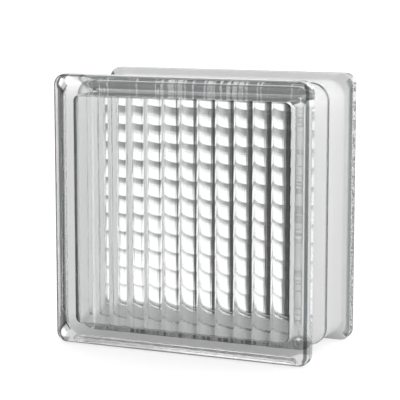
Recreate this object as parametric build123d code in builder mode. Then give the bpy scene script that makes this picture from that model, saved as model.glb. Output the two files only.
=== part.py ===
from build123d import *
import os
from math import radians, tan

# Hollow glass block for walls and windows: two pressed half shells of clear glass,
# heated and fused rim to rim at mid-depth around a sealed air space.
# Both halves come out of one mould. The front half stands with its flutes upright,
# the rear half is turned a quarter, so its flutes lie level.
# Millimetres, Z up. The origin is on the ground, under the middle of the block.

# Driving dimensions
face_size = 190.0        # width and height of the block over its rims
block_depth = 100.0      # from the front face to the rear face
face_corner = 8.0        # corner radius of the square face, seen from the front
face_edge = 5.5          # rounding of the rim where it turns from the face to the side
rim_land = 11.0          # width of the rim's full-size band, from the face backwards
rim_shoulder = 2.0       # rounding of the rim's rear edge
mortar_key = 5.0         # how far the sides lie back behind the rim, to hold the mortar
key_slope = 5.0          # length of the slope from the rim down to the recessed side
key_cove = 3.0           # hollow radius where the slope runs out into the side
side_corner = 12.0       # corner radius of the recessed sides
pane = 9.0               # glass of a pane, from its face to the ridges between the flutes
rim_glass = 14.3         # from the rim's outside to the hollow, measured at the pane
cavity_corner = 5.0      # corner radius of the hollow
cavity_fillet = 1.2      # rounding between the pane and the walls of the hollow
draft = 2.0              # slope of the hollow's walls in degrees, so the plunger draws out
flute_count = 12         # flutes across one pane
flute_depth = 1.8        # from the ridges down to the bottom of a flute
flute_margin = 0.3       # from the wall of the hollow to the first ridge
weld_height = 0.7        # how far the fused seam stands out of the sides
weld_width = 3.0         # width of the fused seam, half of it on each shell
weld_roundness = 0.9     # rounding of the seam's edges, as a share of its height

# Derived sizes
shell_depth = block_depth / 2
side_size = face_size - 2 * mortar_key
side_length = shell_depth - rim_land - key_slope             # from the seam to the key's slope
cavity_size = face_size - 2 * rim_glass
flute_pitch = (cavity_size - 2 * flute_margin) / flute_count
floor_relief = 0.3                                           # how far the pocket goes under the flutes
pocket_floor = pane - flute_depth - floor_relief             # the pocket's floor, behind the face
pocket_depth = shell_depth - pocket_floor
mouth_size = cavity_size + 2 * (shell_depth - pane) * tan(radians(draft))
mouth_corner = cavity_corner + (mouth_size - cavity_size) / 2
bead_size = side_size + 2 * weld_height
bead_round = weld_roundness * weld_height
crest = shell_depth - pane                                   # height of the ridges over the seam
skin_reach = cavity_size / 2 + cavity_fillet                 # the fluted skin runs into the walls
skin_foot = shell_depth - pocket_floor / 2
ridges = [(n - flute_count / 2) * flute_pitch for n in range(flute_count + 1)]


def level_edges(seam, height):
    """The edges that lie flat at one height above the plane of the seam."""
    upward = Axis(seam.origin, seam.z_dir)
    return edges().filter_by(seam).filter_by_position(upward, height - 0.01, height + 0.01)


# The front half stands towards -Y with its flutes upright, and the rear half towards +Y,
# turned a quarter. Each plane lies in the seam, looks at its own pane and has the flutes
# along its Y direction.
seam_centre = (0, 0, face_size / 2)
seams = {
    "front_shell": Plane(origin=seam_centre, x_dir=(1, 0, 0), z_dir=(0, -1, 0)),
    "rear_shell": Plane(origin=seam_centre, x_dir=(0, 0, 1), z_dir=(0, 1, 0)),
}
os.makedirs("parts", exist_ok=True)

for name, seam in seams.items():
    rim_plane = seam.offset(shell_depth - rim_land)
    across_flutes = Plane(origin=seam.origin, x_dir=seam.x_dir, z_dir=-seam.y_dir)

    with BuildPart() as shell:
        # the rim band, the sloping mortar key behind it, and the recessed sides down to the seam
        with BuildSketch(rim_plane):
            RectangleRounded(face_size, face_size, face_corner)
        extrude(amount=rim_land)
        with BuildSketch(seam.offset(side_length)):
            RectangleRounded(side_size, side_size, side_corner)
        with BuildSketch(rim_plane):
            RectangleRounded(face_size, face_size, face_corner)
        loft(ruled=True)
        with BuildSketch(seam):
            RectangleRounded(side_size, side_size, side_corner)
        extrude(amount=side_length)
        fillet(level_edges(seam, side_length), key_cove)
        fillet(level_edges(seam, shell_depth - rim_land), rim_shoulder)
        fillet(level_edges(seam, shell_depth), face_edge)

        # this shell's half of the fused seam, a low rounded bead round the rim
        with BuildSketch(seam):
            RectangleRounded(bead_size, bead_size, side_corner + weld_height)
        extrude(amount=weld_width / 2)
        bead_top = faces().filter_by(seam).sort_by(Axis(seam.origin, seam.z_dir))[1]
        fillet(bead_top.outer_wire().edges(), bead_round)

        # the pocket that the plunger leaves, with drafted walls and a rounded floor
        with BuildSketch(seam):
            RectangleRounded(mouth_size, mouth_size, mouth_corner)
        extrude(amount=pocket_depth, taper=draft, mode=Mode.SUBTRACT)
        fillet(level_edges(seam, pocket_depth), cavity_fillet)

        # the pane's inner skin: glass on the pocket's floor, its top a row of hollow arcs
        with BuildSketch(across_flutes):
            with BuildLine():
                for left, right in zip(ridges, ridges[1:]):
                    bottom = ((left + right) / 2, crest + flute_depth)
                    ThreePointArc((left, crest), bottom, (right, crest))
                Polyline(
                    (ridges[-1], crest),
                    (skin_reach, crest),
                    (skin_reach, skin_foot),
                    (-skin_reach, skin_foot),
                    (-skin_reach, crest),
                    (ridges[0], crest),
                )
            make_face()
        extrude(amount=skin_reach, both=True)

    shell.part.label = name
    export_step(shell.part, f"parts/{name}.step")
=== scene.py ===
import math

import bpy
import numpy as np
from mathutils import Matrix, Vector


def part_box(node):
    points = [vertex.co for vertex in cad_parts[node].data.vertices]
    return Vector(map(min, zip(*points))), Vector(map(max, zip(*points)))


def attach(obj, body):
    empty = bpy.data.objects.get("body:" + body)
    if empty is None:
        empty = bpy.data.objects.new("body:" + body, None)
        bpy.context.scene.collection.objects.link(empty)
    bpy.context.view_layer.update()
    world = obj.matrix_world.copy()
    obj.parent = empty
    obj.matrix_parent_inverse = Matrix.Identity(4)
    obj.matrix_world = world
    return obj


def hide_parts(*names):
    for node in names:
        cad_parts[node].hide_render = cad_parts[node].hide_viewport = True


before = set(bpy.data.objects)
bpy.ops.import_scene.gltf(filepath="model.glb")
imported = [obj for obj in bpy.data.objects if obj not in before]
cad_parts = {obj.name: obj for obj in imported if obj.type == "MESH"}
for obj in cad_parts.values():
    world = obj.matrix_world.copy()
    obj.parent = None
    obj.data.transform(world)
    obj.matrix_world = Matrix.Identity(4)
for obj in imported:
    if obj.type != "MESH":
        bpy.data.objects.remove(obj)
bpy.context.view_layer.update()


# The front half shell. One pressing of clear glass: a pane with upright flutes on its inside,
# a rim that stands proud of the sides to hold the mortar, and four drafted walls. Its open
# edge is heated and fused to the rear half, and the sides then get a thin satin coat.

mm = 0.001
shell_low, shell_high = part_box("front_shell")
face_half = (shell_high.x - shell_low.x) / 2
shell_depth = shell_high.y - shell_low.y
block_centre = (shell_low.z + shell_high.z) / 2

rim_corner = 8.0 * mm                     # corner radius of the face, seen from the front
face_edge = 5.5 * mm                      # rounding of the rim from the face to the side
face_border = 1.0 * mm                    # flat strip of the face that goes with the rim
rim_land = 11.0 * mm                      # width of the rim's full-size band
rim_shoulder = 2.0 * mm
mortar_key = 5.0 * mm                     # how far the sides lie back behind the rim
key_slope = 5.0 * mm
key_cove = 3.0 * mm
side_corner = 12.0 * mm
weld_height = 0.7 * mm
weld_half = 1.5 * mm                      # this shell's half of the fused seam
weld_foot = 0.6 * mm
weld_rounding = 0.5 * mm

pane = 9.0 * mm                           # glass from the face to the ridges
rim_glass = 14.3 * mm                     # from the rim's outside to the hollow
cavity_corner = 5.0 * mm
cavity_fillet = 1.2 * mm
draft = math.radians(2.0)
flute_count = 12
flute_depth = 1.8 * mm
flute_margin = 0.3 * mm
floor_relief = 0.3 * mm                   # the pocket goes this far under the flutes
ridge_blunt = 0.4 * mm                    # the ridges come out of the press slightly rounded
melt = 0.2 * mm                           # how softly the flutes run out into the walls

side_half = face_half - mortar_key
key_foot = rim_land + key_slope           # depth at which the slope reaches the side
weld_edge = shell_depth - weld_half
hollow_half = face_half - rim_glass
hollow_straight = hollow_half - cavity_corner
flute_pitch = 2 * (hollow_half - flute_margin) / flute_count
flute_radius = (flute_pitch**2 / 4 + flute_depth**2) / (2 * flute_depth)

flute_steps = 16                          # mesh lines across one flute
long_steps = 40                           # mesh lines along the flutes
corner_steps = 8
arc_steps = 8                             # round each edge of the outside
run_steps = 4                             # between two edges of the outside
wall_steps = 10
fillet_steps = 22


def spaced(start, stop, steps):
    """Values from start to stop, closer together at both ends: a half turn of a cosine."""
    return start + (stop - start) * (1 - np.cos(np.linspace(0, math.pi, steps + 1))) / 2


def rounded_run(points, radii):
    """Straight runs between the points, with each inner corner turned into an arc of its radius.

    An arc starts radius / tan(half the corner's angle) before the corner. Its points swing by
    equal angles about the centre, which lies on the line that halves the corner.
    """
    points = [np.array(point, float) for point in points]
    rows = []
    last = points[0]
    for before, corner, after, radius in zip(points, points[1:], points[2:], radii):
        back = (before - corner) / np.linalg.norm(before - corner)
        ahead = (after - corner) / np.linalg.norm(after - corner)
        half = math.acos(back @ ahead) / 2
        middle = (back + ahead) / np.linalg.norm(back + ahead)
        centre = corner + middle * radius / math.sin(half)
        arm = corner + back * radius / math.tan(half) - centre
        end = corner + ahead * radius / math.tan(half) - centre
        turn = math.atan2(arm[0] * end[1] - arm[1] * end[0], arm @ end)
        share = spaced(0, 1, run_steps)[:-1, None]
        rows.append(last + (centre + arm - last) * share)
        swing = np.linspace(0, turn, arc_steps + 1)[:-1, None]
        rows.append(centre + arm * np.cos(swing) + np.array([-arm[1], arm[0]]) * np.sin(swing))
        last = centre + end
    rows.append(last + (points[-1] - last) * spaced(0, 1, run_steps)[:, None])
    return np.concatenate(rows)


def outside_profile():
    """Half size, depth and corner radius of each loop from the face over the rim to the seam.

    The corner radius shrinks with the rim's rounding, grows from the rim's to the side's in
    step with the depth of the key, and grows again by the height of the seam.
    """
    half, depth = rounded_run(
        [
            (face_half - face_edge - face_border, 0),
            (face_half, 0),
            (face_half, rim_land),
            (side_half, key_foot),
            (side_half, weld_edge - weld_foot),
            (side_half + weld_height, weld_edge),
            (side_half + weld_height, shell_depth),
        ],
        [face_edge, rim_shoulder, key_cove, weld_rounding, weld_rounding],
    ).T
    front_corner = rim_corner + half - face_half
    key_corner = rim_corner + (face_half - half) * (side_corner - rim_corner) / mortar_key
    weld_corner = side_corner + half - side_half
    corner = np.where(depth <= face_edge, front_corner, key_corner)
    corner = np.where(depth > weld_edge - weld_foot, weld_corner, corner)
    return half, depth, corner


def hollow_profile():
    """Half size, depth and corner radius of each loop from the seam up the hollow to its floor.

    The wall narrows by the draft, and a quarter of a circle leads it into the floor.
    """
    fillet_depth = pane - flute_depth - floor_relief + cavity_fillet
    swing = np.linspace(math.pi / 2 - draft, 0, fillet_steps + 1)
    wall_end = fillet_depth - cavity_fillet * math.cos(swing[0])
    wall_depth = spaced(shell_depth, wall_end, wall_steps)[:-1]
    wall_half = hollow_half + (wall_depth - pane) * math.tan(draft)
    fillet_half = hollow_half + (wall_end - pane) * math.tan(draft)
    fillet_half = fillet_half - cavity_fillet * math.sin(swing[0])
    half = np.concatenate([wall_half, fillet_half + cavity_fillet * np.sin(swing)])
    depth = np.concatenate([wall_depth, fillet_depth - cavity_fillet * np.cos(swing)])
    return half, depth, cavity_corner + half - hollow_half


def on_square(across, along, half, corner):
    """Points of a square with rounded corners, from two coordinates that run from -2 to 2.

    Up to 1 a coordinate spans the straight part of a side, and from 1 to 2 it spans the corner.
    Where both are past 1, a small square is bent to the corner's quarter disc: the larger of
    the two is the share of the radius, and their ratio is the angle.
    """
    p = np.maximum(abs(across) - 1, 0)
    q = np.maximum(abs(along) - 1, 0)
    reach = np.maximum(p, q)
    low_angle = math.pi / 4 * np.minimum(p, q) / np.maximum(reach, 1e-9)
    angle = np.where(p >= q, low_angle, math.pi / 2 - low_angle)
    in_corner = (p > 0) & (q > 0)
    corner_p = np.where(in_corner, reach * np.cos(angle), p)
    corner_q = np.where(in_corner, reach * np.sin(angle), q)
    u = (half - corner) * np.minimum(abs(across), 1) + corner * corner_p
    v = (half - corner) * np.minimum(abs(along), 1) + corner * corner_q
    return np.sign(across) * u, np.sign(along) * v


def square_grid():
    """Lines across and along the flutes, in the two coordinates of on_square.

    Across, the lines of a flute stand closer together at its ridges. They stop just short of
    the corners, and a few more go round each corner.
    """
    flutes = np.arange(-flute_count // 2, flute_count // 2)[:, None]
    in_flute = (flutes + spaced(0, 1, flute_steps)[:-1]).ravel() * flute_pitch
    short_of_corner = 0.995 * hollow_straight
    in_straight = in_flute[abs(in_flute) < short_of_corner] / hollow_straight
    in_corner = np.linspace(1, 2, corner_steps + 1)
    across = np.concatenate([-in_corner[::-1], in_straight, in_corner])
    along = np.concatenate([-in_corner[::-1], spaced(-1, 1, long_steps)[1:-1], in_corner])
    return np.meshgrid(across, along)


def flute_floor(u):
    """Depth of the fluted skin behind the face: hollow arcs side by side.

    A flute falls from its ridge by the difference of two heights on its circle. The distance to
    the ridge is the long side of a right triangle with the blunting as short side, which rounds
    the ridge. Past the outermost ridges the skin is level.
    """
    field = flute_pitch * flute_count / 2
    inside = np.clip(u, -field, field)
    to_ridge = abs(inside - flute_pitch * np.round(inside / flute_pitch))

    def fall(distance):
        return np.sqrt(flute_radius**2 - (flute_pitch / 2 - distance) ** 2)

    return pane - fall(np.hypot(to_ridge, ridge_blunt)) + fall(ridge_blunt)


def hollow_depth(u, pocket):
    """The inner skin is the higher of the pocket and the flutes, with a soft change between."""
    flutes = flute_floor(u)
    return (pocket + flutes + np.sqrt((pocket - flutes) ** 2 + melt**2)) / 2


# What each part of a shell's skin is, in the order of its materials.
face_skin, outer_skin, seam_skin, wall_skin, fluted_skin, crease_skin = range(6)


def pressed_shell():
    """One shell as vertices (u, v, depth behind the face), quads and the skin of each quad.

    Rows of loops run from the face over the rim and the side to the seam, across the seam and
    up the inside to the pane. Two grids, the face and the fluted skin, close the ends, and each
    shares its edge with a loop.
    """
    grid_across, grid_along = square_grid()
    count = np.arange(grid_across.size).reshape(grid_across.shape)
    edge = np.concatenate([count[0, :-1], count[:-1, -1], count[-1, :0:-1], count[:0:-1, 0]])
    loop_across, loop_along = grid_across.ravel()[edge], grid_along.ravel()[edge]

    half, depth, corner = outside_profile()
    inner_half, inner_depth, inner_corner = hollow_profile()
    seam_row = len(half)
    loop_half = np.concatenate([half, inner_half])[:, None]
    loop_corner = np.concatenate([corner, inner_corner])[:, None]
    u, v = on_square(loop_across[None], loop_along[None], loop_half, loop_corner)
    deep = np.concatenate([depth, inner_depth])[:, None] + 0 * u
    deep[seam_row:] = hollow_depth(u[seam_row:], deep[seam_row:])
    deep[seam_row] = shell_depth          # the seam stays in the plane where the shells meet
    loops = np.stack([u, v, deep], axis=-1)

    u, v = on_square(grid_across, grid_along, half[0], corner[0])
    face = np.stack([u, v, 0 * u], axis=-1)
    u, v = on_square(grid_across, grid_along, inner_half[-1], inner_corner[-1])
    floor = np.stack([u, v, hollow_depth(u, inner_depth[-1])], axis=-1)

    rows, length = loops.shape[:2]
    loop_index = np.arange(rows * length).reshape(rows, length)
    inside = np.ones(count.shape, bool)
    inside[0] = inside[-1] = inside[:, 0] = inside[:, -1] = False

    def cap_index(start, loop_row):
        index = np.zeros(count.shape, int)
        index[inside] = start + np.arange(inside.sum())
        index.ravel()[edge] = loop_row
        return index

    def quads(index):
        corners = [index[:-1, :-1], index[:-1, 1:], index[1:, 1:], index[1:, :-1]]
        return np.stack(corners, -1).reshape(-1, 4)

    face_quads = quads(cap_index(rows * length, loop_index[0]))
    floor_quads = quads(cap_index(rows * length + inside.sum(), loop_index[-1]))
    ring_quads = quads(np.concatenate([loop_index, loop_index[:, :1]], axis=1))
    ring_skin = np.full(rows - 1, crease_skin)
    ring_skin[:seam_row + wall_steps] = wall_skin
    ring_skin[:seam_row] = seam_skin
    ring_skin[:seam_row - 1] = outer_skin

    points = np.concatenate([loops.reshape(-1, 3), face[inside], floor[inside]])
    faces = np.concatenate([face_quads, ring_quads[:, ::-1], floor_quads[:, ::-1]])
    skins = np.concatenate(
        [
            np.full(len(face_quads), face_skin),
            np.repeat(ring_skin, length),
            np.full(len(floor_quads), fluted_skin),
        ]
    )
    return points, faces, skins


class Wire:
    """One output of a material's or a world's node, or the tree itself before there is one.

    Sums, differences, products and quotients of wires and numbers add Math nodes.
    """

    def __init__(self, tree, socket=None):
        self.tree = tree
        self.socket = socket

    def node(self, kind, settings=None, sockets=None):
        """A new node of a kind. A socket takes a wire as a link and anything else as its value."""
        made = self.tree.nodes.new(kind)
        for name, value in (settings or {}).items():
            setattr(made, name, value)
        for name, value in (sockets or {}).items():
            if isinstance(value, Wire):
                self.tree.links.new(value.socket, made.inputs[name])
            else:
                made.inputs[name].default_value = value
        return Wire(self.tree, made.outputs[0] if len(made.outputs) else None)

    def output(self, name):
        """Another output of the same node."""
        return Wire(self.tree, self.socket.node.outputs[name])

    def math(self, operation, *values):
        return self.node("ShaderNodeMath", {"operation": operation}, dict(enumerate(values)))

    def __add__(self, other):
        return self.math("ADD", self, other)

    def __sub__(self, other):
        return self.math("SUBTRACT", self, other)

    def __rsub__(self, other):
        return self.math("SUBTRACT", other, self)

    def __mul__(self, other):
        return self.math("MULTIPLY", self, other)

    def __truediv__(self, other):
        return self.math("DIVIDE", self, other)

    def __abs__(self):
        return self.math("ABSOLUTE", self)

    __radd__ = __add__
    __rmul__ = __mul__

    def ramp(self, low, high):
        """0 below low, 1 above high and a smooth rise between, or a fall if low is above high."""
        return self.node(
            "ShaderNodeMapRange",
            {"interpolation_type": "SMOOTHSTEP"},
            {"Value": self, "From Min": low, "From Max": high},
        )


def new_material(name):
    """An empty material, its node tree as a Wire, and the place on the piece as a vector."""
    material = bpy.data.materials.new(name)
    material.use_nodes = True
    material.node_tree.nodes.clear()
    tree = Wire(material.node_tree)
    return material, tree, tree.node("ShaderNodeTexCoord").output("Object")


def show(wire, output="ShaderNodeOutputMaterial"):
    """Ends a tree: the wire is what the surface, or the world, shows."""
    wire.node(output, sockets={"Surface": wire})


def axes(vector):
    """x, y and z of a vector."""
    apart = vector.node("ShaderNodeSeparateXYZ", sockets={"Vector": vector})
    return [apart.output(axis) for axis in "XYZ"]


def grain(place, scale, detail):
    """A cloudy pattern from 0 to 1, with scale blots to the metre."""
    return place.node("ShaderNodeTexNoise", sockets={"Vector": place, "Scale": scale, "Detail": detail})


def relief(height, distance, sockets=None):
    """A surface that rises by the distance where the pattern goes from 0 to 1."""
    sockets = {"Strength": 1.0, "Distance": distance, "Height": height, **(sockets or {})}
    return height.node("ShaderNodeBump", sockets=sockets)


def shaded(share, plain, dark):
    """The plain colour where the share is 0 and the dark one where it is 1."""
    mix = share.node("ShaderNodeMix", {"data_type": "RGBA"}, {0: share, 6: plain, 7: dark})
    return mix.output(2)


def layered(share, under, over):
    """One surface where the share is 0 and the other where it is 1."""
    return under.node("ShaderNodeMixShader", sockets={0: share, 1: under, 2: over})


def waves(place):
    """The faint waves that the mould and the press leave in a surface."""
    return relief(grain(place, 60.0, 1.0), 0.12 * mm)


def drawn_streaks(place, stretch):
    """Fine lines along the flutes, as the plunger's machined flutes leave them, over the waves."""
    drawn = place.node("ShaderNodeVectorMath", {"operation": "MULTIPLY"}, {0: place, 1: stretch})
    return relief(grain(drawn, 900.0, 2.0), 0.10 * mm, {"Normal": waves(place)})


def on_left_and_right(x, z, softness):
    """1 on the block's left and right sides and 0 on its top and bottom."""
    return (abs(x) - abs(z - block_centre)).ramp(-softness, softness)


glass_tint = (0.995, 1.0, 1.0, 1)


def clear_glass(normal, roughness=0.0, tint=glass_tint):
    """Clear pressed glass."""
    return normal.node(
        "ShaderNodeBsdfPrincipled",
        sockets={
            "Base Color": tint,
            "Roughness": roughness,
            "IOR": 1.52,
            "Transmission Weight": 1.0,
            "Normal": normal,
        },
    )


# The face, and the fluted skin behind it, are fire polished.
glass, tree, place = new_material("pressed_glass")
show(clear_glass(waves(place)))

upright_flutes, tree, place = new_material("upright_fluted_glass")
show(clear_glass(drawn_streaks(place, (1, 1, 0.03))))

# The hollow's lowest wall is dimpled, and the others are nearly smooth.
dull_glass, tree, place = new_material("dull_pressed_glass")
x, y, z = axes(place)
at_bottom = 0.02 + 0.98 * z.ramp(30 * mm, 20 * mm)
show(clear_glass(relief(grain(place, 260.0, 3.0) * at_bottom, 0.6 * mm), roughness=0.03))

# The fillet between the walls and the fluted skin gets a fine grey line of painted shade, tinted
# unevenly into its glass.
crease, tree, place = new_material("hollow_crease_painted_shade")
uneven = grain(place, 50.0, 2.0).ramp(0.35, 0.65)
# painted shade: the crease's glass is tinted an uneven grey
painted_shade_grey = shaded(uneven, (0.34, 0.34, 0.34, 1), (0.42, 0.43, 0.43, 1))
show(clear_glass(waves(place), tint=painted_shade_grey))

# The outside from the face's edge to the seam. The rim and the slope behind it stay bare, and
# the sides are coated. The coat reaches higher up the slope on the rear half, and at the front
# half's corners. Specks of it lie on the rim's land.
coated, tree, place = new_material("coated_rim_and_sides")
x, y, z = axes(place)
from_face = shell_depth - abs(y)
at_side = on_left_and_right(x, z, 1 * mm)
on_rear = y.ramp(-1 * mm, 1 * mm)
near_corner = tree.math("MINIMUM", abs(x), abs(z - block_centre)).ramp(80 * mm, 86 * mm)
coat_start = key_foot + 0.5 * mm + 3 * mm * at_side - 6 * mm * on_rear
coat_start = coat_start - 3.2 * mm * near_corner * (1 - on_rear)
on_side = (from_face - coat_start).ramp(-1 * mm, 0.5 * mm)
on_side = on_side * from_face.ramp(weld_edge, weld_edge - weld_foot)
on_land = from_face.ramp(0.5 * rim_land, 0.6 * rim_land) * from_face.ramp(1.1 * rim_land, rim_land)
specks = grain(place, 900.0, 1.0).ramp(0.54, 0.60)
with_coat = tree.math("MAXIMUM", on_side, on_land * specks)

satin = tree.node(
    "ShaderNodeBsdfPrincipled",
    sockets={"Base Color": (0.90, 0.90, 0.90, 1), "Roughness": 0.45, "IOR": 1.45},
)
lit_through = tree.node("ShaderNodeBsdfTranslucent", sockets={"Color": (0.88, 0.88, 0.88, 1)})
coat = layered(0.6, satin, lit_through)

# Painted shade: grey lines of painted shade are tinted into the bare glass along the rim's rounding,
# the bare slope of the left and right sides, and the seam's bead. Above and below, the rounding's line
# lies a millimetre further back.
rounding = from_face - 1 * mm * (1 - at_side)
edge_shade_mask = rounding.ramp(0.5 * mm, 0.9 * mm) * rounding.ramp(3.0 * mm, 2.2 * mm)
slope_start = rim_land + 2 * mm * (1 - on_rear)
slope_full = rim_land + 2.8 * mm * (1 - on_rear) + 0.4 * mm
slope_shade_mask = from_face.ramp(slope_start, slope_full)
slope_shade_mask = slope_shade_mask * from_face.ramp(key_foot + 4.5 * mm, key_foot + 4 * mm)
slope_shade_mask = slope_shade_mask * at_side * (0.8 + 0.2 * on_rear)
seam_shade_mask = from_face.ramp(weld_edge - 0.3 * mm, weld_edge + 0.2 * mm)
painted_shade_mask = tree.math("MAXIMUM", edge_shade_mask, tree.math("MAXIMUM", slope_shade_mask, 0.9 * seam_shade_mask))
# painted shade: the bare glass is tinted dark along the rounding, the side slopes and the seam
painted_shade_grey = shaded(painted_shade_mask, glass_tint, (0.08, 0.09, 0.09, 1))
bare = clear_glass(relief(grain(place, 40.0, 0.0), 0.08 * mm), tint=painted_shade_grey)
show(layered(with_coat, bare, coat))

# The fused joint, as seen through the glass: milky, with painted shade that makes it darker above and
# below than at the sides, and clearer at its lip towards the hollow.
joint, tree, place = new_material("fused_joint")
x, y, z = axes(place)
at_side = on_left_and_right(x, z, 2 * mm)
# painted shade: the joint's colour is dark above and below and pale at the sides
joint_shade_tone = shaded(at_side, (0.30, 0.31, 0.31, 1), (0.90, 0.92, 0.92, 1))
from_middle = tree.math("MAXIMUM", abs(x), abs(z - block_centre))
at_lip = from_middle.ramp(83.9 * mm, 83.2 * mm)
blisters = grain(place, 90.0, 1.0).ramp(0.35, 0.65)
cloud = 0.97 + 0.03 * blisters - 0.50 * at_lip
clear = tree.node("ShaderNodeBsdfTransparent")
milky = tree.node("ShaderNodeBsdfTranslucent", sockets={"Color": joint_shade_tone})
show(layered(cloud, clear, milky))


def shell_piece(name, node, put, fluted, seam):
    """A shell as an object. put turns (u, v, depth) into x, y and z."""
    points, faces, skins = pressed_shell()
    mesh = bpy.data.meshes.new(name)
    mesh.from_pydata(put(*points.T), [], faces)
    for material in (glass, coated, seam, dull_glass, fluted, crease):
        mesh.materials.append(material)
    mesh.polygons.foreach_set("material_index", skins)
    mesh.shade_smooth()
    piece = bpy.data.objects.new(name, mesh)
    bpy.context.scene.collection.objects.link(piece)
    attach(piece, "root")
    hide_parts(node)


shell_piece(
    "front_shell_glass",
    "front_shell",
    lambda u, v, depth: np.stack([u, depth - shell_depth, block_centre + v], axis=-1),
    upright_flutes,
    joint,
)


# The rear half shell. It comes out of the same mould, and is turned a quarter before fusing,
# so its flutes lie level and cross the upright ones in front. The joint is drawn once, on the
# front shell, so this shell's side of it is open to the light.

level_flutes, tree, place = new_material("level_fluted_glass")
show(clear_glass(drawn_streaks(place, (0.03, 1, 1))))

joint_counterpart, tree, place = new_material("joint_counterpart")
show(tree.node("ShaderNodeBsdfTransparent"))

shell_piece(
    "rear_shell_glass",
    "rear_shell",
    lambda u, v, depth: np.stack([v, shell_depth - depth, block_centre + u], axis=-1),
    level_flutes,
    joint_counterpart,
)


# The stand: a plain pale floor, white to the camera with the block's faint shadow on it. The
# rays that the glass gathers pass through it and see the pale room below it as well.


def stage_sheet(name, material, corners):
    """A flat sheet through four corners that belongs to the stage and not to the block."""
    mesh = bpy.data.meshes.new(name)
    mesh.from_pydata(corners, [], [(0, 1, 2, 3)])
    mesh.materials.append(material)
    sheet = bpy.data.objects.new(name, mesh)
    bpy.context.scene.collection.objects.link(sheet)
    return sheet


pale, tree, place = new_material("pale_floor")
camera_ray = tree.node("ShaderNodeLightPath").output("Is Camera Ray")
lit = tree.node("ShaderNodeBsdfDiffuse", sockets={"Color": (0.98, 0.98, 0.98, 1)})
white = tree.node("ShaderNodeEmission", sockets={"Color": (1, 1, 1, 1), "Strength": 1.0})
show(layered(camera_ray * 0.75, lit, white))
pale.cycles.emission_sampling = "NONE"

reach = 12.0
floor = stage_sheet(
    "floor", pale, [(-reach, -reach, 0), (reach, -reach, 0), (reach, reach, 0), (-reach, reach, 0)]
)
floor.visible_transmission = False
floor.visible_glossy = False


# A white sheet stands lit far behind the block, and only the glass gathers it. Its light ends
# to the right of the middle, with an edge that grows softer with height, and fades out above
# and below and to the far left.

sheet_paper, tree, place = new_material("white_sheet")
x, y, z = axes(place)
above = tree.math("MAXIMUM", z - 0.03, 0.0)
lit_part = x.ramp(-0.27 + 0.5 * above, -0.37 - 1.2 * above) * (1 - 0.3 * x.ramp(-0.9, -1.3))
lit_part = lit_part * z.ramp(0.22, -0.10) * z.ramp(-0.87, -0.54)
glow = tree.node("ShaderNodeEmission", sockets={"Color": (1, 1, 1, 1), "Strength": 1.2})
clear = tree.node("ShaderNodeBsdfTransparent")
show(layered(lit_part, clear, glow))
sheet_paper.cycles.emission_sampling = "NONE"

left, right, low, high, behind = -3.6, 0.1, -1.0, 0.4, 1.2
sheet = stage_sheet(
    "white_sheet",
    sheet_paper,
    [(left, behind, low), (right, behind, low), (right, behind, high), (left, behind, high)],
)
sheet.visible_camera = False
sheet.visible_diffuse = False
sheet.visible_shadow = False


# The light: a pale room, brightest behind the block and above it. The camera sees it white,
# and the glass gathers its walls, which are darker and change round the room.

world = bpy.data.worlds.new("pale_room")
world.use_nodes = True
world.node_tree.nodes.clear()
bpy.context.scene.world = world
tree = Wire(world.node_tree)
dx, dy, dz = axes(tree.node("ShaderNodeTexCoord").output("Generated"))
degree = math.radians(1)
turn = tree.math("ARCTAN2", 0 - dx, dy) / degree      # from straight behind towards the left
rise = tree.math("ARCSINE", dz) / degree

# Each row is a change of the walls' brightness and the two turns it happens between.
wall_changes = [
    (0.32, -175, -155),
    (0.26, -110, -50),
    (-0.12, -30, -14),
    (-0.36, -16, 2),
    (-0.14, 4, 8),
    (0.26, 11, 16),
    (0.24, 18, 28),
    (-0.12, 34, 44),
    (-0.28, 64, 80),
    (0.24, 105, 118),
    (-0.34, 130, 145),
]
walls = 0.10
for change, start, end in wall_changes:
    walls = walls + change * turn.ramp(start, end)
walls = walls * (1 - 0.2 * rise.ramp(18, 34))

from_behind = 1.9 + 0.7 * dx.ramp(0, 0.8) + 0.5 * dx.ramp(-0.2, -0.9)
soft_light = 0.05 + from_behind * dy.ramp(-0.3, 0.5) + 1.2 * dz.ramp(0, 0.9)
rays = tree.node("ShaderNodeLightPath")
camera_ray = rays.output("Is Camera Ray")
gathered = tree.math("MAXIMUM", rays.output("Is Glossy Ray"), rays.output("Is Transmission Ray"))
gathered = gathered * (1 - rays.output("Is Diffuse Ray"))
level = camera_ray + (1 - camera_ray) * (soft_light + gathered * (walls - soft_light))
room = tree.node("ShaderNodeBackground", sockets={"Color": (1, 1, 1, 1), "Strength": level})
show(room, "ShaderNodeOutputWorld")


# The camera stands where the photograph was taken, with no shift. Light may pass through the
# many skins of the glass.

look_down = math.radians(8.365)
look_left = math.radians(24.064)
view = bpy.data.cameras.new("photograph_view")
view.sensor_width = 36.0
view.lens = 140.3
camera = bpy.data.objects.new("photograph_view", view)
camera.location = (0.4391, -0.9931, 0.2604)
camera.rotation_euler = (math.pi / 2 - look_down, 0, look_left)
bpy.context.scene.collection.objects.link(camera)
bpy.context.scene.camera = camera

scene = bpy.context.scene
scene.view_settings.view_transform = "Standard"
scene.cycles.max_bounces = 32
scene.cycles.transmission_bounces = 32
scene.cycles.transparent_max_bounces = 16
scene.cycles.glossy_bounces = 16
scene.cycles.diffuse_bounces = 6
